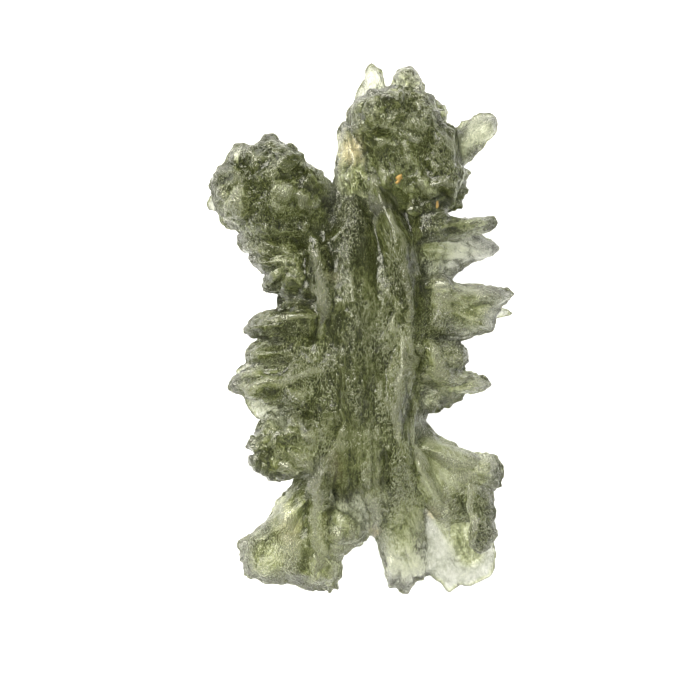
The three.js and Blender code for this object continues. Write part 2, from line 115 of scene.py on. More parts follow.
def warped(points, amount, seed):
    """The points pushed about by slow noise, so that what is drawn on them bends."""
    push = [smooth_noise(points * 0.6, seed + 7 * axis) for axis in range(3)]
    return points + amount * np.stack(push, axis=1)


def rugged_noise(points, seed, layers=4):
    """Sharp crests with finer crests riding on them, and quiet hollows: about 0 to 1."""
    finer, fainter, sharpness = 2.07, 0.58, 1.9
    total = np.zeros(len(points))
    weight = np.ones(len(points))
    for layer in range(layers):
        wave = np.abs(smooth_noise(points * finer**layer, seed + layer * LAYER_SEED))
        fold = 1 - np.clip(wave * sharpness, 0, 1)
        crest = fold**2 * weight
        weight = np.clip(crest * 2.2, 0.15, 1)
        total += crest * fainter**layer
    return total / 1.5


def ridge_noise(points, seed, layers=2):
    """Sharp crests near 1 between broad hollows near -1."""
    finer, fainter, sharpness = 2.1, 0.45, 2.6
    total = np.zeros(len(points))
    for layer in range(layers):
        wave = np.abs(smooth_noise(points * finer**layer, seed + layer * LAYER_SEED))
        total += (1 - sharpness * wave) * fainter**layer
    return np.clip(total, -1.2, 1.5)


def cup_noise(points, seed):
    """Round hollows that meet in sharp crests: 0 deep in a hollow, 1 on a crest."""
    far, steepness = 9.0, 1.6
    base = np.floor(points)
    nearest = np.full(len(points), far)
    second = np.full(len(points), far)
    for i in (-1, 0, 1):
        for j in (-1, 0, 1):
            for k in (-1, 0, 1):
                corner = base + np.array([i, j, k])
                seedling = corner + lattice_vector(corner, seed)
                gap = ((points - seedling) ** 2).sum(axis=1)
                second = np.minimum(second, np.maximum(nearest, gap))
                nearest = np.minimum(nearest, gap)
    edge = np.sqrt(second) - np.sqrt(nearest)
    return 1 - np.clip(edge * steepness, 0, 1)


def ramp(value, low, high):
    """0 below low, 1 above high, smooth between."""
    t = np.clip((value - low) / (high - low), 0, 1)
    return t * t * (3 - 2 * t)


# ------------------------------------------------------------------------------ mesh steps


def vertex_array(mesh, field="co"):
    """The points of a mesh, or their normals if the field says so."""
    flat = np.empty(len(mesh.vertices) * 3)
    if field == "co":
        mesh.vertices.foreach_get("co", flat)
    else:
        mesh.vertex_normals.foreach_get("vector", flat)
    return flat.reshape(-1, 3)


def edge_ends(mesh):
    """The first and the second point of every edge."""
    ends = np.empty(len(mesh.edges) * 2, dtype=np.int64)
    mesh.edges.foreach_get("vertices", ends)
    return ends.reshape(-1, 2).T


def ray_tree(mesh, places):
    return BVHTree.FromPolygons(places.tolist(), [tuple(p.vertices) for p in mesh.polygons])


def set_vertices(mesh, places):
    mesh.vertices.foreach_set("co", places.astype(np.float32).ravel())
    mesh.update()


def with_modifier(obj, kind, **settings):
    """Replaces the object's mesh by its shape under one modifier."""
    modifier = obj.modifiers.new(kind.lower(), kind)
    for name, value in settings.items():
        setattr(modifier, name, value)
    shown = obj.evaluated_get(bpy.context.evaluated_depsgraph_get())
    mesh = bpy.data.meshes.new_from_object(shown)
    obj.modifiers.clear()
    old = obj.data
    obj.data = mesh
    bpy.data.meshes.remove(old)


def swell(mesh, amount):
    """Moves the skin outwards by the amount."""
    set_vertices(mesh, vertex_array(mesh) + amount * vertex_array(mesh, "normal"))


def glass_depth(mesh, places, normals, reach, rings):
    """How thick the glass is behind each point, or behind the thinnest of the points around it."""
    tree = ray_tree(mesh, places)
    start_depth = 2e-5  # metres below the skin, so that a ray doesn't meet the face it leaves
    depth = np.full(len(places), reach)
    for i, (place, normal) in enumerate(zip(places, normals)):
        inward = -Vector(normal)
        hit = tree.ray_cast(Vector(place) + inward * start_depth, inward, reach)
        if hit[0] is not None:
            depth[i] = hit[3] + start_depth
    start, end = edge_ends(mesh)
    for _ in range(rings):
        thinnest = depth.copy()
        np.minimum.at(thinnest, start, depth[end])
        np.minimum.at(thinnest, end, depth[start])
        depth = thinnest
    return depth


# ------------------------------------------------------------------------------ the etched skin


# Crests and troughs of the upper face: a bent line and half its width, in millimetres of the stone
# Besides being carved, the skin is painted pale along the crests as a painted highlight, and dark along the
# troughs as painted shade
CRESTS = [
    ([(1.6, 11.0), (2.0, 9.4), (2.9, 6.3), (3.3, 3.7), (3.7, 1.2), (3.0, 0.2)], 0.42),  # right ridge, upper
    ([(3.3, 0.4), (3.2, -2.7), (2.4, -6.6), (2.9, -9.6)], 0.42),  # right ridge, lower
    ([(2.2, 3.0), (2.6, 1.4), (2.9, -0.6)], 0.4),  # side crest of the right ridge
    ([(3.6, -0.2), (3.5, -4.2), (3.8, -6.0), (3.7, -8.6), (4.1, -9.9)], 0.36),  # outer right ridge
    ([(3.8, -8.8), (5.1, -12.0), (5.9, -13.4), (6.5, -15.4)], 0.6),  # down the right foot
    ([(-3.8, 7.6), (-3.4, 5.3), (-2.8, 2.9), (-2.9, -1.2)], 0.5),  # left ridge
    ([(5.3, -1.2), (5.7, -2.6), (6.1, -4.6)], 0.7),  # hip block
    ([(-3.9, -9.8), (-3.2, -13.6), (-3.1, -19.5)], 0.8),  # left foot, inner
    ([(-1.2, -13.4), (-1.7, -15.8), (-2.4, -19.7)], 0.5),  # left foot, beside the notch
    ([(0.6, -12.2), (1.0, -14.0), (1.4, -16.0)], 0.6),  # middle foot, beside the notch
    ([(8.1, -11.2), (8.2, -13.2), (8.1, -16.2)], 0.45),  # inner edge of the right flap
    ([(-6.0, -12.6), (-5.2, -15.2), (-5.6, -18.6)], 1.0),  # left foot, middle
    ([(-9.4, 11.8), (-9.0, 9.6), (-9.2, 7.6)], 0.7),  # shoulder, outer
    ([(-6.2, 10.6), (-5.0, 9.6), (-3.9, 9.4)], 0.8),  # shoulder, facet
    ([(-2.4, 1.0), (-5.6, 0.5), (-8.8, -0.2)], 0.35),  # left thorn
    ([(-2.4, -3.0), (-6.2, -4.1), (-9.8, -4.6)], 0.5),  # left spike
    ([(3.4, 4.0), (7.0, 3.0), (11.2, 2.5)], 0.8),  # wing fin
    ([(3.4, -3.4), (7.0, -4.0), (9.8, -4.3)], 0.6),  # hip spike
    ([(3.9, 10.6), (5.6, 10.3), (7.1, 10.4)], 0.5),  # lip of the head
]
TROUGHS = [
    ([(-4.9, 8.8), (-4.7, 6.6), (-4.2, 4.4)], 1.0),  # between shoulder and left ridge
    ([(-8.0, 11.6), (-8.0, 9.4), (-8.2, 7.2)], 0.9),  # shoulder, outer groove
    ([(-6.9, 10.8), (-6.9, 9.0), (-6.6, 7.6)], 0.6),  # shoulder, inner groove
    ([(-8.6, 6.6), (-6.0, 6.4), (-3.6, 6.6)], 0.8),  # between shoulder and left palm
    ([(-6.4, 7.9), (-4.8, 8.0), (-3.4, 8.2)], 0.7),  # below the shoulder's facet
    ([(1.6, 13.6), (2.4, 11.0), (2.5, 8.0)], 1.7),  # channel of the head
    ([(0.9, 16.0), (2.8, 16.3), (4.9, 15.8)], 0.6),  # head, upper fold
    ([(1.0, 14.2), (2.9, 14.0), (4.8, 14.2)], 0.7),  # head, middle fold
    ([(4.9, 14.8), (5.0, 12.6), (4.6, 10.9)], 0.7),  # head, right fold
    ([(3.4, 9.3), (5.0, 9.2), (7.2, 9.2)], 0.8),  # below the lip of the head
    ([(4.4, 7.4), (4.8, 4.0), (4.7, 0.4), (4.6, -3.0)], 0.9),  # beside the right ridge
    ([(-2.6, -10.0), (-2.2, -12.6), (-2.4, -15.0)], 0.7),  # left foot
    ([(2.0, -9.0), (1.9, -11.6), (2.4, -14.4)], 0.7),  # middle foot
    ([(-3.0, 2.0), (-5.6, 2.0), (-7.6, 1.6)], 0.7),  # between left palm and left thorn
    ([(-3.0, -1.0), (-6.0, -1.0), (-8.6, -1.0)], 0.6),  # between left thorn and left scale
    ([(-3.0, -6.6), (-5.4, -6.6), (-7.0, -6.9)], 0.6),  # above the knee
    ([(5.0, -0.2), (6.6, -1.0), (8.4, -1.2)], 0.6),  # between wing fin and hip block
]

# Faces that were etched less than the rest: a bent line and how far the calm reaches from it
CALM_FACES = [
    ([(1.6, 13.0), (2.4, 11.0), (2.7, 8.2)], 1.6),  # channel of the head
    ([(-6.3, 9.9), (-4.4, 8.9)], 1.0),  # facet of the shoulder
    ([(-6.3, -14.6), (-5.6, -18.4)], 2.2),  # left foot
    ([(5.4, 1.4), (8.8, 1.6)], 2.2),  # wing fin
    ([(5.2, -8.4), (7.0, -10.4), (7.4, -13.4)], 2.4),  # right foot
    ([(7.4, 13.0), (9.8, 15.8)], 1.8),  # prism
    ([(-1.1, 17.0), (-0.6, 19.6)], 1.4),  # crown leaf, left side
    ([(7.6, 5.6), (11.0, 6.6)], 1.2),  # palm leaf
]

# Painted light and shade, with some of the glass's own tone: patches made paler, as lit facets, or darker,
# as shaded grooves, than thickness alone would make them: place, reach and amount
LIGHT_SHADE_AND_TONE_PATCHES = [
    ((-5.6, 6.8), (3.4, 1.4), -0.16),  # below the shoulder
    ((-6.8, 10.4), (4.2, 3.6), -0.12),  # shoulder
    ((-5.4, 9.4), (1.5, 1.3), 0.26),  # shoulder, facet
    ((-8.0, 9.4), (0.8, 2.4), -0.22),  # shoulder, outer groove
    ((-6.9, 9.0), (0.5, 1.8), -0.22),  # shoulder, inner groove
    ((-9.6, 9.4), (0.9, 2.2), 0.22),  # shoulder, outer edge
    ((-6.6, 13.2), (1.6, 1.2), -0.15),  # shoulder, cap
    ((6.0, 12.8), (2.2, 3.4), -0.16),  # head, right
    ((1.8, 15.4), (2.2, 1.6), -0.12),  # head, upper left
    ((0.4, 6.6), (2.8, 4.2), -0.10),  # neck
    ((1.6, -2.6), (1.6, 5.0), 0.12),  # core, right
    ((9.0, -13.8), (1.1, 2.8), -0.35),  # right flap
    ((-8.4, -8.6), (1.2, 1.6), -0.15),  # knee, outer
    ((7.0, -10.2), (2.8, 2.6), 0.38),  # right foot
    ((5.4, -13.4), (1.6, 2.4), 0.20),  # right foot, lower
    ((-5.2, -9.6), (1.6, 1.4), 0.16),  # knee, inner
    ((3.2, -17.6), (1.8, 2.6), 0.36),  # middle foot
    ((-5.6, -17.0), (1.6, 1.6), 0.12),  # left foot, middle
    ((-7.4, -15.6), (2.0, 3.4), -0.12),  # left foot, outer
    ((7.4, 1.6), (2.4, 2.2), 0.28),  # wing fin
    ((6.2, 7.4), (2.4, 1.0), -0.30),  # finger
    ((8.6, 5.6), (3.0, 1.3), 0.5),  # palm leaf
    ((7.9, -15.2), (1.3, 2.0), -0.20),  # right fringe
    ((0.6, 18.6), (1.4, 1.8), -0.15),  # crown leaf
    ((6.0, -3.4), (1.6, 2.0), 0.22),  # hip block, lower
    ((4.2, 18.4), (1.1, 1.0), 0.25),  # knob of the head
    ((-7.4, 1.2), (3.0, 3.4), -0.18),  # left palm and left thorn
    ((-7.6, -3.0), (2.6, 2.2), -0.12),  # left scale and left spike
    ((8.4, 14.2), (2.4, 2.4), -0.25),  # prism
    ((-4.6, -12.6), (1.3, 1.5), -0.18),  # left foot, top
    ((-2.0, -14.4), (1.3, 1.5), -0.16),  # left foot, beside the notch
    ((-8.0, -0.2), (2.4, 1.0), -0.12),  # tip of the left thorn
    ((-7.2, 8.8), (2.2, 1.8), -0.12),  # shoulder, lower
    ((-1.4, 8.6), (1.8, 1.8), -0.16),  # neck, left
    ((-2.6, 5.4), (3.0, 1.6), -0.16),  # core, upper left
    ((-7.2, -5.4), (1.7, 1.3), -0.24),  # knee leaf
    ((7.4, -4.6), (1.8, 1.2), 0.15),  # hip spike
    ((-4.2, -8.0), (1.6, 1.4), 0.18),  # knee, top
    ((-1.4, -8.0), (1.8, 1.6), 0.12),  # core, lower left
    ((7.6, -11.4), (2.2, 1.6), 0.16),  # right foot, outer
    ((1.4, -11.4), (1.6, 1.6), 0.10),  # core, above the notch
    ((-7.6, -14.6), (1.6, 1.6), -0.12),  # left foot, outer top
]

# Leaves that stay clear and nearly colourless, and a band of the lower fringe that stays olive:
# a bent line and how far the look reaches from it
CLEAR_LEAVES = [([(6.6, 4.2), (10.8, 5.6)], 1.2)]
OLIVE_LEAVES = [([(6.2, -13.4), (8.2, -17.0)], 1.3)]

# Where the crumpled lumps are, and the smooth block and leaf that stand out of them
HEAD = (4.2, 14.2)
SHOULDER = (-6.8, 10.4)
KNEE = (-6.2, -8.8)
PRISM = [(7.8, 13.2), (10.2, 16.0)]
CROWN_LEAF = [(-1.4, 16.6), (-0.4, 20.0)]
HEART = (0.3, -4.0)  # the flow of the feet fans out from here

# Patterns of the etch, in millimetres: how far one feature reaches across and along the flow, the
# level of the noise that leaves the skin where it is, and the depth on the core, the side fins, the
# feet and the lumps
CRAGS = {"across": (1.7, 7.5), "seed": 11, "level": 0.6, "depth": (0.10, 0.40, 0.24, 0.20)}
CUPS = {"across": (1.3, 2.6), "seed": 23, "level": 0.8, "depth": (0.05, 0.07, 0.04, 0.10)}
SMALL_CUPS = {"across": (0.6, 1.0), "seed": 31, "level": 0.7, "depth": (0.06, 0.05, 0.04, 0.07)}

# Depths of what is drawn over the whole stone or on one kind of place, in millimetres
LINE_SWAY_MM = 0.45
FOLDS_MM, PLATES_MM = 0.75, 0.60  # the head and the knee, crumpled
SOFT_FOLDS_MM, FACETS_MM = 0.15, 1.1  # the shoulder, in flat facets
WAVES_MM = 0.1
CREST_MM, TROUGH_MM = 0.38, 0.55
STRIAE_MM, NICKS_MM, LUMP_NICKS_MM, TEETH_MM = 0.05, 0.07, 0.05, 0.12

# Thinner glass than this is carved less, down to a least share, so that no leaf is eaten through
FORMS_NEED_MM, LEAST_FORMS = 2.0, 0.08
ETCH_NEEDS_MM, LEAST_ETCH = 0.8, 0.2
MOST_OF_DEPTH, MOST_RISE_MM = 0.3, 0.5

# Glass thinner than this is clear, and glass thicker than that has its full depth of colour
CLEAR_BELOW_MM, DEEP_ABOVE_MM = 0.9, 3.8

# What each thing adds to the paleness of the skin, from 0 to 1: the ridge and proud terms add painted
# highlight on crests, the trough and proud terms painted shade in hollows
BASE_PALE, RIDGE_HIGHLIGHT, VEIL_PALE = 0.25, 0.44, 0.14
FOOT_PALE, CLOUD_PALE, THIN_PALE = 0.16, 0.08, 0.25
PROUD_LIGHT_AND_SHADE, HEAD_PROUD_LIGHT_AND_SHADE, FINE_LIGHT_AND_SHADE, HEAD_FINE_LIGHT_AND_SHADE = 0.16, 0.15, 0.12, 0.04
TROUGH_SHADE, HEAD_DARK = 0.25, 0.04


def blob_line(mm, path, reach):
    """1 along a bent line, 0 beyond reach of it, smooth between."""
    gap, _ = line_distance(mm, path)
    return 1 - ramp(gap / reach, 0.5, 1.1)


def calm_share(mm):
    """1 on the faces that were etched less than the rest, 0 away from them."""
    return np.maximum.reduce([blob_line(mm, path, reach) for path, reach in CALM_FACES])


def blob(places, centre, reach):
    """1 within a round region of the stone seen from above, 0 outside it, smooth between."""
    away = np.hypot(places[:, 0] - centre[0], places[:, 1] - centre[1])
    return 1 - ramp(away / reach, 0.65, 1.1)


def regions(mm):
    """Shares of lump, foot, side fin and core for each point, in millimetres."""
    lump = np.maximum.reduce([blob(mm, HEAD, 5.6), blob(mm, SHOULDER, 5.0), blob(mm, KNEE, 3.0)])
    lump *= 1 - blob_line(mm, PRISM, 2.0)
    lump *= 1 - blob_line(mm, CROWN_LEAF, 2.0)
    foot = ramp(-mm[:, 1], 8.5, 12.0) * (1 - lump)
    side = ramp(np.abs(mm[:, 0] - 0.2), 3.6, 5.4) * (1 - lump) * (1 - foot)
    core = 1 - lump - foot - side
    return lump, foot, side, np.clip(core, 0, 1)


def by_region(shares, at_core, at_side, at_foot, at_lump):
    """One number for each region, mixed by the regions' shares."""
    lump, foot, side, core = shares
    return at_core * core + at_side * side + at_foot * foot + at_lump * lump


def flow_places(mm, fine, drawn):
    """Noise places squeezed across the old glass flow: along Y in the core, outward elsewhere."""
    core = np.stack([mm[:, 0] / fine, mm[:, 1] / drawn, mm[:, 2] / fine], axis=1)
    side = np.stack([mm[:, 0] / drawn, mm[:, 1] / fine, mm[:, 2] / fine], axis=1)
    from_heart = mm[:, :2] - np.array(HEART)
    out = np.hypot(from_heart[:, 0], from_heart[:, 1])
    turn = np.arctan2(from_heart[:, 0], -from_heart[:, 1])
    usual_out_mm = 12.0  # turns the angle into a length across the feet
    foot = np.stack([turn * usual_out_mm / fine, out / drawn, mm[:, 2] / fine], axis=1)
    return core, side, foot


def by_flow(mm, shares, fine, drawn, noise):
    """One noise, run along the flow of each region and mixed by the regions' shares."""
    lump, foot, side, core = shares
    places = flow_places(mm, fine, drawn)
    lumpy = noise(mm / (fine * 1.3))
    return (
        core * noise(places[0])
        + side * noise(places[1])
        + foot * noise(places[2])
        + lump * lumpy
    )


def line_distance(mm, path):
    """Distance in plan from a bent line, and the share of its length at the nearest place."""
    gap = np.full(len(mm), np.inf)
    share = np.zeros(len(mm))
    ends = np.array(path)
    lengths = np.hypot(*(ends[1:] - ends[:-1]).T)
    walked = 0.0
    for start, end, length in zip(ends[:-1], ends[1:], lengths):
        leg = end - start
        t = np.clip(((mm[:, :2] - start) @ leg) / length**2, 0, 1)
        foot = start + t[:, None] * leg
        away = np.hypot(mm[:, 0] - foot[:, 0], mm[:, 1] - foot[:, 1])
        nearer = away < gap
        gap = np.where(nearer, away, gap)
        share = np.where(nearer, (walked + t * length) / lengths.sum(), share)
        walked += length
    return gap, share


def line_share(mm, lines):
    """How near each point is to the nearest of some bent lines: 1 on it, 0 at its half width."""
    sway = [smooth_noise(mm / 1.7, seed) for seed in (71, 73)]
    bent = mm + LINE_SWAY_MM * np.stack([*sway, 0 * mm[:, 0]], axis=1)
    share = np.zeros(len(mm))
    for path, wide in lines:
        gap, along = line_distance(bent, path)
        taper = np.clip(6 * along * (1 - along), 0, 1) ** 0.7
        share = np.maximum(share, np.clip(1 - gap / wide, 0, 1) * taper)
    return share * (0.75 + 0.35 * smooth_noise(mm / 1.3, 79))


def etched(mm, shares, noise, pattern):
    """One pattern of the etch: run along the flow, and as deep as each region lets it."""
    field = by_flow(mm, shares, *pattern["across"], lambda p: noise(p, pattern["seed"]))
    return by_region(shares, *pattern["depth"]) * (field - pattern["level"])


def carve_forms(mesh):
    """Etches hollows 0.5 to 4 mm across into the skin, and spares the crests between them."""
    places = vertex_array(mesh)
    normals = vertex_array(mesh, "normal")
    mm = places / STONE_MM
    shares = regions(mm)
    lump = shares[0]
    depth = glass_depth(mesh, places, normals, 3 * MM, 5) / MM
    upward = ramp(normals[:, 2], 0.05, 0.5)
    calm = calm_share(mm) * upward

    bent = warped(mm / 3.0, 0.3, 61) * 3.0
    folds = rugged_noise(bent / 2.6, 67, 3)
    plates = cup_noise(bent / 2.6, 29)
    facets = cup_noise(bent / 4.2, 37)
    faceted = blob(mm, SHOULDER, 5.4)
    height = (
        etched(bent, shares, rugged_noise, CRAGS)
        + etched(bent, shares, cup_noise, CUPS)
        + etched(mm, shares, cup_noise, SMALL_CUPS)
        + lump * (1 - faceted) * (FOLDS_MM * (folds - 0.5) + PLATES_MM * (plates - 0.7))
        + lump * faceted * (SOFT_FOLDS_MM * (folds - 0.5) + FACETS_MM * (facets - 0.8))
        + WAVES_MM * smooth_noise(mm / 4.0, 3)
    )
    calmed = 1 - 0.75 * calm
    off_the_steep = 0.5 + 0.5 * ramp(np.abs(normals[:, 2]), 0.1, 0.6)
    height *= calmed * off_the_steep
    crest = line_share(mm, CRESTS) * upward
    trough = ramp(line_share(mm, TROUGHS), 0, 0.9) * upward
    height = height * (1 - 0.55 * ramp(crest, 0, 0.6)) + CREST_MM * crest - TROUGH_MM * trough
    room = np.clip(depth / FORMS_NEED_MM, LEAST_FORMS, 1)
    height = np.clip(height * room, -MOST_OF_DEPTH * depth, MOST_RISE_MM)
    set_vertices(mesh, places + normals * (height * MM)[:, None])


def carve_etch(mesh):
    """Fine flutes, nicks and the teeth of the thin edges, 0.2 to 0.6 mm across."""
    places = vertex_array(mesh)
    normals = vertex_array(mesh, "normal")
    mm = places / STONE_MM
    shares = regions(mm)
    depth = glass_depth(mesh, places, normals, 1.5 * MM, 3) / MM
    edge = 1 - ramp(np.abs(normals[:, 2]), 0.25, 0.7)

    striae = by_flow(mm, shares, 0.34, 1.3, lambda p: ridge_noise(p, 41))
    nicks = by_flow(mm, shares, 0.42, 0.6, lambda p: cup_noise(p, 53))
    teeth = ridge_noise(mm / 0.75, 83)
    crest = np.clip(line_share(mm, CRESTS), 0, 1)
    nick_depth = NICKS_MM + LUMP_NICKS_MM * shares[0]
    height = STRIAE_MM * striae + nick_depth * (nicks - 0.5) + TEETH_MM * edge * teeth
    height *= 1 - 0.6 * np.maximum(calm_share(mm), 0.4 * crest)
    room = np.clip(depth / ETCH_NEEDS_MM, LEAST_ETCH, 1)
    set_vertices(mesh, places + normals * (height * room * MM)[:, None])


def keep_in_box(mesh):
    """Holds the skin inside the box of the CAD solid."""
    places = vertex_array(mesh)
    set_vertices(mesh, np.clip(places, np.array(LOW), np.array(HIGH)))


def keep_one_body(mesh):
    """Drops any crumb that the carving has cut off."""
    bm = bmesh.new()
    bm.from_mesh(mesh)
    bm.verts.ensure_lookup_table()
    unseen = set(bm.verts)
    bodies = []
    while unseen:
        start = unseen.pop()
        body, front = [start], [start]
        while front:
            vert = front.pop()
            for edge in vert.link_edges:
                other = edge.other_vert(vert)
                if other in unseen:
                    unseen.discard(other)
                    body.append(other)
                    front.append(other)
        bodies.append(body)
    bodies.sort(key=len)
    crumbs = [vert for body in bodies[:-1] for vert in body]
    bmesh.ops.delete(bm, geom=crumbs, context="VERTS")
    bm.to_mesh(mesh)
    bm.free()


def spread(mesh, values, rings):
    """Values at the points of a mesh, each averaged with its neighbours' as often as rings says."""
    start, end = edge_ends(mesh)
    count = len(mesh.vertices)
    joined = np.bincount(start, minlength=count) + np.bincount(end, minlength=count)
    for _ in range(rings):
        around = np.bincount(start, values[end], count) + np.bincount(end, values[start], count)
        values = 0.4 * values + 0.6 * around / np.maximum(joined, 1)
    return values


def stand_out(mesh, places, normals, rings):
    """How far each point stands proud of the skin round it: below 0 in hollows."""
    around = np.stack([spread(mesh, places[:, i], rings) for i in range(3)], axis=1)
    return ((places - around) * normals).sum(axis=1)


def leaf_thickness(mesh, places, normals, reach):
    """How much glass lies under each upper point, and over each lower one."""
    tree = ray_tree(mesh, places)
    start_depth = 3e-5
    thick = np.full(len(places), reach)
    for i, (place, rise) in enumerate(zip(places, normals[:, 2])):
        way = Vector((0, 0, -1 if rise > 0 else 1))
        hit = tree.ray_cast(Vector(place) + way * start_depth, way, reach)
        if hit[0] is not None:
            thick[i] = hit[3]
    return thick


def patch_light_shade_and_tone(mm):
    """How much paler, above 0, or darker, below 0, the table of painted light, shade and tone makes each
    point.
    """
    tone = np.zeros(len(mm))
    for (x, y), (wide, tall), amount in LIGHT_SHADE_AND_TONE_PATCHES:
        away = np.hypot((mm[:, 0] - x) / wide, (mm[:, 1] - y) / tall)
        tone += amount * (1 - ramp(away, 0.5, 1.2))
    return tone


def mark_skin(mesh):
    """Stores how pale the skin is, with painted highlights on crests and painted shade in hollows and
    troughs, how thin the glass is and where worm tracks show, 0 to 1.
    """
    places = vertex_array(mesh)
    normals = vertex_array(mesh, "normal")
    mm = places / STONE_MM
    shares = regions(mm)
    lump, _, side, _ = shares
    upward = ramp(normals[:, 2], 0.0, 0.4)
    thick = spread(mesh, leaf_thickness(mesh, places, normals, 12 * MM), 4) / MM
    thin = 1 - ramp(thick, CLEAR_BELOW_MM, DEEP_ABOVE_MM)
    crest = np.clip(line_share(mm, CRESTS), 0, 1) * upward
    trough = np.clip(line_share(mm, TROUGHS), 0, 1) * upward
    proud = np.clip(stand_out(mesh, places, normals, 14) / MM / 0.08, -1, 1)
    fine = np.clip(stand_out(mesh, places, normals, 3) / MM / 0.02, -1, 1)
    bent = warped(mm / 2.0, 0.5, 101) * 2.0
    veil = by_flow(bent, shares, 1.5, 3.4, lambda p: smooth_noise(p, 103))
    lumpy = lump * ramp(mm[:, 1], 0, 4)
    tone = patch_light_shade_and_tone(mm)

    # Painted highlight along the ridge crests and painted shade in the troughs
    share = (
        BASE_PALE
        - HEAD_DARK * lumpy
        + RIDGE_HIGHLIGHT * ramp(crest, 0.2, 0.5)
        - TROUGH_SHADE * ramp(trough, 0.1, 0.6)
    )
    # Painted light and shade of the relief: paler where the skin stands proud, darker in its hollows, more
    # so on the head lumps
    proud_light_and_shade = PROUD_LIGHT_AND_SHADE + HEAD_PROUD_LIGHT_AND_SHADE * lumpy
    fine_light_and_shade = FINE_LIGHT_AND_SHADE + HEAD_FINE_LIGHT_AND_SHADE * lumpy
    share += proud_light_and_shade * proud + fine_light_and_shade * fine
    share += VEIL_PALE * (2 * ramp(veil, -0.12, 0.12) - 1)
    cloud = smooth_noise(mm / 2.5, 97)
    share += FOOT_PALE * ramp(-mm[:, 1], 6, 14) + CLOUD_PALE * cloud + THIN_PALE * thin
    # Painted light and shade from the patch table, with some of the glass's own tone
    share += tone

    thin *= 1 + np.clip(tone, -0.6, 0)
    for path, reach in CLEAR_LEAVES:
        thin = np.maximum(thin, 0.85 * blob_line(mm, path, reach))
    for path, reach in OLIVE_LEAVES:
        thin *= 1 - 0.8 * blob_line(mm, path, reach)
    # Where the worm tracks' frost and painted glints show
    worms = (1 - 0.3 * lump - 0.15 * side) * (1 - 0.4 * calm_share(mm))
    for name, values in (("paleness_and_painted_light", share), ("thinness", thin), ("worm_tracks", worms)):
        mark = mesh.attributes.new(name, "FLOAT", "POINT")
        mark.data.foreach_set("value", np.clip(values, 0, 1).astype(np.float32))


def make_glass():
    """The stone itself: the CAD solid, melted, etched twice and thinned out to its last mesh."""
    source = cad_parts[STONE]
    glass = bpy.data.objects.new("etched_glass", source.data.copy())
    bpy.context.scene.collection.objects.link(glass)
    swell(glass.data, SWELL_MM * MM)
    with_modifier(glass, "REMESH", mode="VOXEL", voxel_size=MELT_VOXEL_MM * MM)
    with_modifier(glass, "SMOOTH", factor=0.5, iterations=1)
    carve_forms(glass.data)
    with_modifier(glass, "REMESH", mode="VOXEL", voxel_size=SKIN_VOXEL_MM * MM)
    carve_etch(glass.data)
    keep_one_body(glass.data)
    with_modifier(glass, "TRIANGULATE")
    share = FINISHED_FACES / len(glass.data.polygons)
    if share < 1:
        with_modifier(glass, "DECIMATE", ratio=share)
    keep_in_box(glass.data)
    mark_skin(glass.data)
    glass.data.materials.clear()
    glass.data.materials.append(GLASS)
    glass.data.shade_smooth()
    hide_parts(STONE)
    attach(glass, "root")
    return glass


# ------------------------------------------------------------------------------ clay crumbs

# Crumbs of clay stuck in the etched skin: place and reach in millimetres of the stone
CLAY_CRUMBS = [
    {"at": (2.8, 10.9), "reach": (0.34, 0.56)},
    {"at": (5.6, 9.0), "reach": (0.17, 0.36)},
]
CRUMB_RISE_MM = 0.07
CRUMB_ROOT_MM = 0.05
CRUMB_RAGGED = 0.28  # how far a crumb's edge wanders, as a share of its reach
CRUMB_FLOOR = 0.55  # crumbs sit above this share of the stone's height


def make_clay_crumb(number, glass, at, reach):
    """A crust of clay that follows the glass below it: the skin's own faces, lifted and closed."""
    mesh = glass.data
    places = vertex_array(mesh)
    mm = places / STONE_MM
    normals = vertex_array(mesh, "normal")
    ragged = CRUMB_RAGGED * smooth_noise(mm / 0.22, 91 + number)
    out = np.hypot((mm[:, 0] - at[0]) / reach[0], (mm[:, 1] - at[1]) / reach[1]) + ragged
    high = mm[:, 2] > CRUMB_FLOOR * HIGH.z / STONE_MM
    near = (out < 1) & (normals[:, 2] > 0.15) & high
    chosen = [p for p in mesh.polygons if all(near[v] for v in p.vertices)]
    used = sorted({v for p in chosen for v in p.vertices})
    order = {v: i for i, v in enumerate(used)}
    count = len(used)
    puff = (1 - np.clip(out[used], 0, 1) ** 2)[:, None]
    top = places[used] + normals[used] * (CRUMB_RISE_MM * MM) * puff
    root = places[used] - normals[used] * (CRUMB_ROOT_MM * MM)
    faces = [[order[v] for v in p.vertices] for p in chosen]
    under = [[v + count for v in reversed(face)] for face in faces]
    sides = [side for face in faces for side in zip(face, face[1:] + face[:1])]
    inner = set(sides)
    walls = [[b, a, a + count, b + count] for a, b in sides if (b, a) not in inner]
    crust = bpy.data.meshes.new(f"clay_crumb_{number}")
    crust.from_pydata(np.vstack([top, root]).tolist(), [], faces + under + walls)
    crust.materials.append(CLAY)
    crust.shade_smooth()
    crumb = bpy.data.objects.new(f"clay_crumb_{number}", crust)
    bpy.context.scene.collection.objects.link(crumb)
    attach(crumb, "root")


# ------------------------------------------------------------------------------ materials


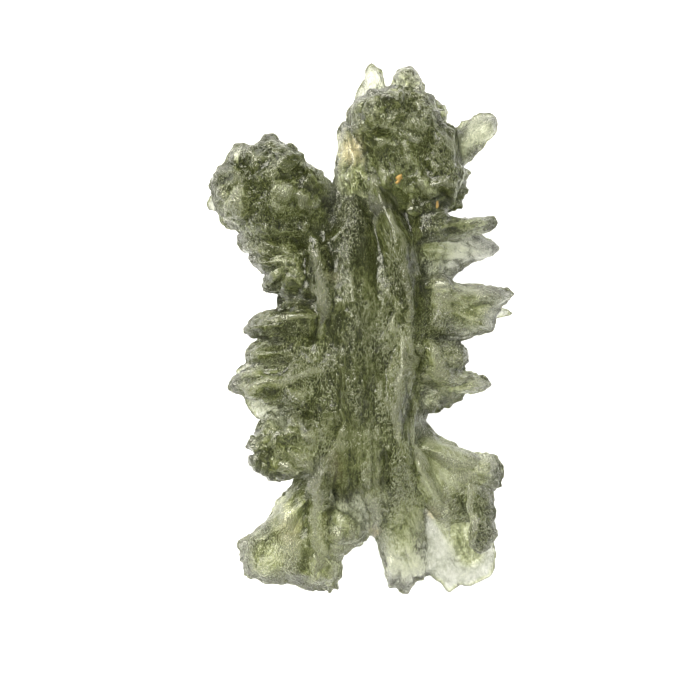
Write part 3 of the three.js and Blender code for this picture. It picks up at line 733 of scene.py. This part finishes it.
class Nodes:
    """A short way to place and join shader nodes."""

    def __init__(self, tree):
        self.tree = tree
        self.column = 0

    def add(self, kind, inputs=None, **settings):
        node = self.tree.nodes.new(kind)
        node.location = (self.column, 0)
        self.column += 190
        for name, value in settings.items():
            setattr(node, name, value)
        for name, value in (inputs or {}).items():
            if isinstance(value, bpy.types.NodeSocket):
                self.tree.links.new(value, node.inputs[name])
            else:
                node.inputs[name].default_value = value
        return node

    def math(self, operation, *values, clamp=False):
        given = dict(enumerate(values))
        return self.add(
            "ShaderNodeMath", given, operation=operation, use_clamp=clamp
        ).outputs[0]

    def noise(self, place, **values):
        return self.add("ShaderNodeTexNoise", {"Vector": place, **values}).outputs["Fac"]

    def remap(self, value, given, wanted, curve="LINEAR"):
        """Turns the given range of a value into the wanted one, and holds it at its ends."""
        sockets = {
            "Value": value,
            "From Min": given[0],
            "From Max": given[1],
            "To Min": wanted[0],
            "To Max": wanted[1],
        }
        return self.add("ShaderNodeMapRange", sockets, interpolation_type=curve).outputs[0]

    def mix(self, share, first, second):
        """The first colour at share 0, the second at share 1."""
        sockets = {"Factor": share, 6: first, 7: second}
        return self.add("ShaderNodeMix", sockets, data_type="RGBA").outputs[2]


def new_group(name, inputs, outputs):
    """A shader node group with named float sockets."""
    group = bpy.data.node_groups.new(name, "ShaderNodeTree")
    for label, value in inputs.items():
        socket = group.interface.new_socket(label, in_out="INPUT", socket_type="NodeSocketFloat")
        socket.default_value = value
    for label in outputs:
        group.interface.new_socket(label, in_out="OUTPUT", socket_type="NodeSocketFloat")
    return group


def etch_grain_group():
    """Micro-etch of old glass: worm tracks in patches, drawn out along the flow."""
    group = new_group(
        "Etch Grain",
        {"Scale": 4500.0, "Stretch": 0.5, "Matt Low": 0.1, "Matt High": 0.4},
        ("Height", "Frost And Glint", "Roughness"),
    )
    n = Nodes(group)
    given = n.add("NodeGroupInput").outputs
    place = n.add("ShaderNodeTexCoord").outputs["Object"]
    squash = n.add("ShaderNodeCombineXYZ", {"X": 1.0, "Y": given["Stretch"], "Z": 1.0}).outputs[0]
    drawn = n.add("ShaderNodeVectorMath", {0: place, 1: squash}, operation="MULTIPLY").outputs[0]
    patch = n.noise(drawn, Scale=380.0, Detail=5.0, Roughness=0.6)
    open_patch = n.remap(patch, (0.46, 0.58), (0.25, 1.0))
    cloud = n.noise(drawn, Scale=given["Scale"], Detail=1.0)
    centred = n.math("SUBTRACT", cloud, 0.5)
    away = n.math("ABSOLUTE", centred)
    track = n.remap(away, (0.0, 0.10), (1.0, 0.0))
    frost = n.math("MULTIPLY", track, open_patch)
    grain = n.noise(drawn, Scale=given["Scale"], Detail=3.0, Roughness=0.7)
    height = n.math("ADD", frost, grain)
    matt = n.remap(patch, (0.35, 0.65), (given["Matt Low"], given["Matt High"]))
    n.add("NodeGroupOutput", {"Height": height, "Frost And Glint": frost, "Roughness": matt})
    return group


# Faint iron and clay stains in the glass: place, reach and strength, in millimetres of the stone
STAINS = [
    {"at": (-0.6, 13.2), "reach": (0.9, 1.3), "strength": 1.0},
    {"at": (1.0, -15.3), "reach": (0.4, 0.7), "strength": 0.8},
    {"at": (-2.1, 3.7), "reach": (0.8, 0.5), "strength": 0.35},
    {"at": (-2.0, -10.2), "reach": (0.7, 1.6), "strength": 0.3},
    {"at": (-5.3, -15.3), "reach": (1.0, 1.4), "strength": 0.45},
    {"at": (5.4, -13.9), "reach": (0.6, 0.7), "strength": 0.6},
]


def stain_group():
    """Where ochre has soaked into the skin: 0 in clean glass, up to 1 in a stain."""
    group = new_group("Ochre Stain", {"Scale": 900.0}, ("Mask",))
    n = Nodes(group)
    given = n.add("NodeGroupInput").outputs
    place = n.add("ShaderNodeTexCoord").outputs["Object"]
    cloud = n.noise(place, Scale=given["Scale"], Detail=4.0)
    total = None
    for stain in STAINS:
        x, y = (c * STONE_MM for c in stain["at"])
        wide, tall = (c * STONE_MM for c in stain["reach"])
        moved = n.add("ShaderNodeVectorMath", {0: place, 1: (-x, -y, 0.0)}, operation="ADD")
        shape = (1 / wide, 1 / tall, 0.0)
        scaled = n.add(
            "ShaderNodeVectorMath", {0: moved.outputs[0], 1: shape}, operation="MULTIPLY"
        )
        away = n.add("ShaderNodeVectorMath", {0: scaled.outputs[0]}, operation="LENGTH")
        frayed = n.math("ADD", away.outputs["Value"], cloud)
        mask = n.remap(frayed, (1.7, 0.7), (0.0, stain["strength"]), "SMOOTHSTEP")
        total = mask if total is None else n.math("MAXIMUM", total, mask)
    n.add("NodeGroupOutput", {"Mask": total})
    return group


def place_group(n, group, **values):
    """Puts a shader node group into a material with its own values."""
    node = n.add("ShaderNodeGroup", node_tree=group)
    for name, value in values.items():
        node.inputs[name.replace("_", " ")].default_value = value
    return node


# Tones of the skin from dark hollows, painted shade, to pale crests, painted highlight: on the thick core,
# and on leaves thin enough to be clear
CORE_TONES = {
    0.0: (0.055, 0.062, 0.020),
    0.38: (0.29, 0.32, 0.125),
    0.8: (0.76, 0.78, 0.55),
    1.0: (0.91, 0.92, 0.76),
}
LEAF_TONES = {0.0: (0.22, 0.23, 0.17), 0.5: (0.54, 0.55, 0.48), 1.0: (0.77, 0.77, 0.74)}
STAIN_COLOUR = (0.82, 0.71, 0.47, 1.0)
DEPTH_COLOUR = (0.29, 0.32, 0.12, 1.0)
WORM_DEPTH = 0.00004
CLAY_GRAIN_DEPTH = 0.00003


def tone_ramp(n, share, tones):
    """A colour ramp that turns a share from 0 to 1 into the given tones."""
    ramp_node = n.add("ShaderNodeValToRGB", {"Fac": share})
    stops = ramp_node.color_ramp.elements
    while len(stops) < len(tones):
        stops.new(0.5)
    for stop, (place, tone) in zip(stops, sorted(tones.items())):
        stop.position = place
        stop.color = (*tone, 1.0)
    return ramp_node.outputs["Color"]


def glass_material(grain_group):
    """Clear olive glass, whose skin is painted dark in hollows as shade and pale on crests as highlight,
    and pale on thin leaves.
    """
    material = bpy.data.materials.new("olive_etched_glass")
    material.use_nodes = True
    tree = material.node_tree
    tree.nodes.clear()
    n = Nodes(tree)
    grain = place_group(
        n, grain_group, Scale=5000.0, Stretch=0.5, Matt_Low=0.05, Matt_High=0.22
    ).outputs
    bump = n.add(
        "ShaderNodeBump", {"Height": grain["Height"], "Strength": 1.0, "Distance": WORM_DEPTH}
    )
    paleness_and_painted_light = n.add("ShaderNodeAttribute", attribute_name="paleness_and_painted_light").outputs["Fac"]
    thinness = n.add("ShaderNodeAttribute", attribute_name="thinness").outputs["Fac"]
    worm_tracks = n.add("ShaderNodeAttribute", attribute_name="worm_tracks").outputs["Fac"]
    # Worm tracks painted pale, partly as frost and partly as painted glints, with painted shade between
    # them
    glint_and_frost = n.remap(grain["Frost And Glint"], (0.0, 0.9), (-0.17, 0.85))
    track_glint_and_frost = n.math("MULTIPLY", glint_and_frost, worm_tracks)
    pale = n.math("ADD", paleness_and_painted_light, track_glint_and_frost, clamp=True)
    shade = n.mix(thinness, tone_ramp(n, pale, CORE_TONES), tone_ramp(n, pale, LEAF_TONES))
    stain = place_group(n, stain_group()).outputs["Mask"]
    glass = n.add(
        "ShaderNodeBsdfPrincipled",
        {
            "Base Color": n.mix(stain, shade, STAIN_COLOUR),
            "Roughness": grain["Roughness"],
            "IOR": 1.49,
            "Specular IOR Level": 0.35,
            "Transmission Weight": 0.9,
            "Normal": bump.outputs["Normal"],
        },
    )
    depth = n.add("ShaderNodeVolumeAbsorption", {"Color": DEPTH_COLOUR, "Density": 260.0})
    n.add("ShaderNodeOutputMaterial", {"Surface": glass.outputs[0], "Volume": depth.outputs[0]})
    return material


def clay_material(grain_group):
    material = bpy.data.materials.new("ochre_clay")
    material.use_nodes = True
    n = Nodes(material.node_tree)
    shader = material.node_tree.nodes["Principled BSDF"]
    grain = place_group(
        n, grain_group, Scale=9000.0, Stretch=1.0, Matt_Low=0.8, Matt_High=0.95
    ).outputs
    cloud = n.add("ShaderNodeTexNoise", {"Scale": 5000.0, "Detail": 3.0}).outputs["Fac"]
    colour = n.mix(cloud, (0.36, 0.22, 0.065, 1.0), (0.58, 0.38, 0.13, 1.0))
    bump = n.add(
        "ShaderNodeBump", {"Height": grain["Height"], "Strength": 0.5, "Distance": CLAY_GRAIN_DEPTH}
    )
    link = material.node_tree.links.new
    link(colour, shader.inputs["Base Color"])
    link(grain["Roughness"], shader.inputs["Roughness"])
    link(bump.outputs["Normal"], shader.inputs["Normal"])
    return material


def floor_material():
    """A pale, matt floor that lights the stone from below, so that it throws no shadow."""
    material = bpy.data.materials.new("pale_floor")
    material.use_nodes = True
    inputs = material.node_tree.nodes["Principled BSDF"].inputs
    looks = {
        "Base Color": (0.9, 0.9, 0.9, 1.0),
        "Roughness": 0.9,
        "Specular IOR Level": 0.0,
        "Emission Color": (1.0, 1.0, 1.0, 1.0),
        "Emission Strength": 1.1,
    }
    for name, value in looks.items():
        inputs[name].default_value = value
    return material


# ------------------------------------------------------------------------------ studio

LAMP_COLOUR = (1.0, 0.98, 0.86)
SKY_COLOUR = (1.0, 1.0, 0.94, 1.0)
SKY_STRENGTH = 0.35
WIDTH_SEEN = 1.3027 * LENGTH
CAMERA_AT = (-0.0205 * LENGTH, -0.042 * LENGTH)


def make_floor():
    mesh = bpy.data.meshes.new("floor")
    reach = 40 * LENGTH
    corners = [(-reach, -reach, 0), (reach, -reach, 0), (reach, reach, 0), (-reach, reach, 0)]
    mesh.from_pydata(corners, [], [(0, 1, 2, 3)])
    mesh.materials.append(floor_material())
    floor = bpy.data.objects.new("floor", mesh)
    bpy.context.scene.collection.objects.link(floor)


def soft_light(name, azimuth, height, distance, size, power):
    """A round soft lamp that looks at the stone: azimuth runs from +Y towards +X, in degrees."""
    lamp = bpy.data.lights.new(name, "AREA")
    lamp.color = LAMP_COLOUR
    lamp.shape = "DISK"
    lamp.size = size
    lamp.energy = power
    light = bpy.data.objects.new(name, lamp)
    bpy.context.scene.collection.objects.link(light)
    turn = math.radians(azimuth)
    rise = math.radians(height)
    flat = math.cos(rise)
    away = Vector((math.sin(turn) * flat, math.cos(turn) * flat, math.sin(rise)))
    light.location = away * distance
    light.rotation_euler = (-away).to_track_quat("-Z", "Y").to_euler()


def make_world():
    world = bpy.data.worlds.new("studio")
    world.use_nodes = True
    sky = world.node_tree.nodes["Background"].inputs
    sky["Color"].default_value = SKY_COLOUR
    sky["Strength"].default_value = SKY_STRENGTH
    bpy.context.scene.world = world


def make_camera():
    """Looks straight down on the stone, with its head at the top of the picture."""
    lens = bpy.data.cameras.new("camera")
    lens.lens = 100.0
    lens.sensor_width = 36.0
    lens.clip_start = 0.01
    view = bpy.data.objects.new("camera", lens)
    bpy.context.scene.collection.objects.link(view)
    distance = WIDTH_SEEN * lens.lens / lens.sensor_width
    view.location = (*CAMERA_AT, MID_Z + distance)
    view.rotation_euler = (0, 0, 0)
    bpy.context.scene.camera = view


make_camera()
make_world()
make_floor()
soft_light("window", azimuth=-45, height=42, distance=0.5, size=0.4, power=5.5)
soft_light("fill", azimuth=130, height=40, distance=0.6, size=0.5, power=1.0)
ETCH_GRAIN = etch_grain_group()
GLASS = glass_material(ETCH_GRAIN)
CLAY = clay_material(ETCH_GRAIN)
stone_glass = make_glass()
for number, crumb in enumerate(CLAY_CRUMBS, 1):
    make_clay_crumb(number, stone_glass, **crumb)
bpy.context.scene.view_settings.view_transform = "Standard"
